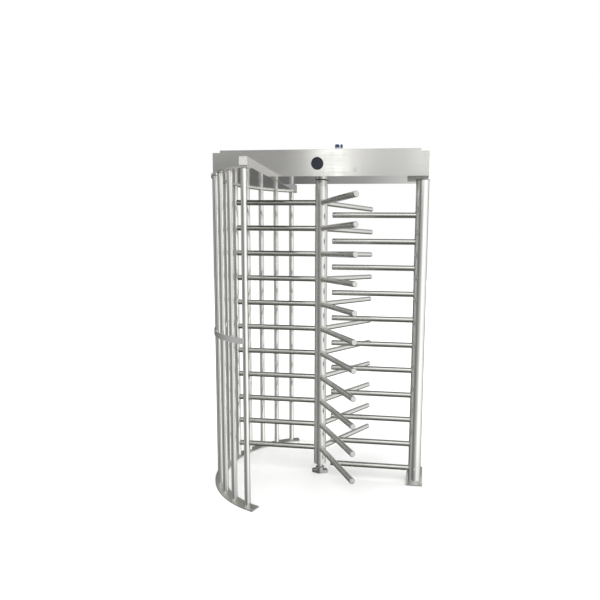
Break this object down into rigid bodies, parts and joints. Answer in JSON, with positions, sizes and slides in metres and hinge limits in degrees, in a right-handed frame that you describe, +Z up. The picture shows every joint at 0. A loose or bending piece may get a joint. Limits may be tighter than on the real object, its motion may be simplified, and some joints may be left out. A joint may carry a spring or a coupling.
{
  "type": "full-height turnstile",
  "caption": "Full-height turnstile: a rotor with wings of bars turns between a curved tube cage and a fixed comb barrier, under a sheet-metal head that holds its counter and lock.",
  "frame": {"origin": "on the floor, on the rotor's axis, midway between the two bolts of the rotor's bearing unit", "axes": "+Z up along the rotor's axis, +X along the head towards the barrier post, -Y towards the entry side"},
  "size_m": [1.5319, 1.3164, 2.367],
  "materials": {
    "stainless_tube": "satin polished along the tube",
    "stainless_sheet": "fine brushed grain",
    "stainless_plate": "ground plate",
    "stainless_rail": "satin",
    "stainless_cap": "domed and polished",
    "stainless_polished": "polished",
    "machined_steel": "turned",
    "bearing_steel": "ground",
    "gland_grey": "matt",
    "gland_blue": "matt",
    "lamp_black": "gloss",
    "lamp_lens": "tinted gloss",
    "circuit_board": "solder mask",
    "component_black": "moulded",
    "lock_nickel": "nickel plate",
    "zinc_plate": "zinc plated",
    "screw_black": "blackened",
    "cast_housing": "painted casting",
    "gear_steel": "oiled steel",
    "pinion_brass": "machined",
    "damper_black": "black enamel",
    "solenoid_zinc": "zinc plated",
    "module_grey": "moulded",
    "psu_aluminium": "folded sheet"
  },
  "bodies": {
    "frame": {"base_ring": "stainless_plate", "cage_tubes_entry": "stainless_tube", "cage_tubes_exit": "stainless_tube", "mid_rail": "stainless_plate", "roof_plate": "stainless_plate", "roof_ring": "stainless_plate", "chord_rails": "stainless_rail", "chord_rail_caps": "stainless_rail", "post_base_plate": "stainless_plate", "post_tube": "stainless_tube", "post_ribs": "stainless_plate", "post_top_plate": "stainless_plate", "barrier_bars": "stainless_tube", "barrier_bar_caps": "stainless_cap", "pedestal": "stainless_polished", "bearing_lower": "bearing_steel", "housing_floor": "stainless_sheet", "fascia_entry": "stainless_sheet", "fascia_exit": "stainless_sheet", "end_panels": "stainless_sheet", "top_frame": "stainless_sheet", "lamp_bezels": "lamp_black", "lamp_lenses": "lamp_lens", "lamp_boards": "circuit_board", "key_switch_body": "lock_nickel", "mechanism_plate": "zinc_plate", "mechanism_screws": "screw_black", "bearing_housing": "cast_housing", "bearing_upper": "bearing_steel", "pinion_bushes": "pinion_brass", "rotary_damper": "damper_black", "encoder_bridge": "zinc_plate", "counter_encoder": "damper_black", "pawl_pivot": "machined_steel", "solenoid": "solenoid_zinc", "control_board": "circuit_board", "board_components": "component_black", "counter_module": "module_grey", "power_supply": "psu_aluminium", "terminal_block": "module_grey"},
    "rotor": {"rotor_column": "stainless_tube", "wing_left": "stainless_tube", "wing_front": "stainless_tube", "wing_rear": "stainless_tube", "wing_arm_caps": "stainless_cap", "rotor_foot": "machined_steel", "rotor_shaft": "machined_steel", "rotor_collar": "stainless_polished", "drive_gear": "gear_steel", "index_disc": "gear_steel", "shaft_nut": "machined_steel"},
    "pinion": {"counter_pinion": "pinion_brass", "pinion_shaft": "machined_steel"},
    "cover": {"top_cover": "stainless_sheet", "gland_bases": "gland_grey", "gland_nuts": "gland_blue"},
    "key": {"key_plug": "lock_nickel"},
    "pawl": {"lock_pawl": "gear_steel"},
    "plunger": {"solenoid_plunger": "machined_steel"}
  },
  "joints": [
    {"name": "rotor_spin", "type": "hinge", "parent": "frame", "child": "rotor", "pos_m": [0, 0, 0], "axis": [0, 0, 1], "continuous": true},
    {"name": "pinion_spin", "type": "hinge", "parent": "frame", "child": "pinion", "pos_m": [0.12, 0, 0], "axis": [0, 0, 1], "continuous": true},
    {"name": "cover_lift", "type": "slide", "parent": "frame", "child": "cover", "axis": [0, 0, 1], "range_m": [0, 0.25]},
    {"name": "key_turn", "type": "hinge", "parent": "frame", "child": "key", "pos_m": [0.257, -0.19, 2.19], "axis": [0, 1, 0], "range_deg": [0, 90]},
    {"name": "pawl_swing", "type": "hinge", "parent": "frame", "child": "pawl", "pos_m": [-0.092, -0.075, 2.232], "axis": [0, 0, -1], "range_deg": [0, 9], "stiffness_Nm_per_rad": 0.3},
    {"name": "plunger_slide", "type": "slide", "parent": "frame", "child": "plunger", "axis": [1, 0, 0], "range_m": [0, 0.006]}
  ],
  "couplings": [
    {"joint": "pinion_spin", "follows": "rotor_spin", "ratio": -3},
    {"joint": "plunger_slide", "follows": "pawl_swing", "m_per_rad": 0.038}
  ]
}
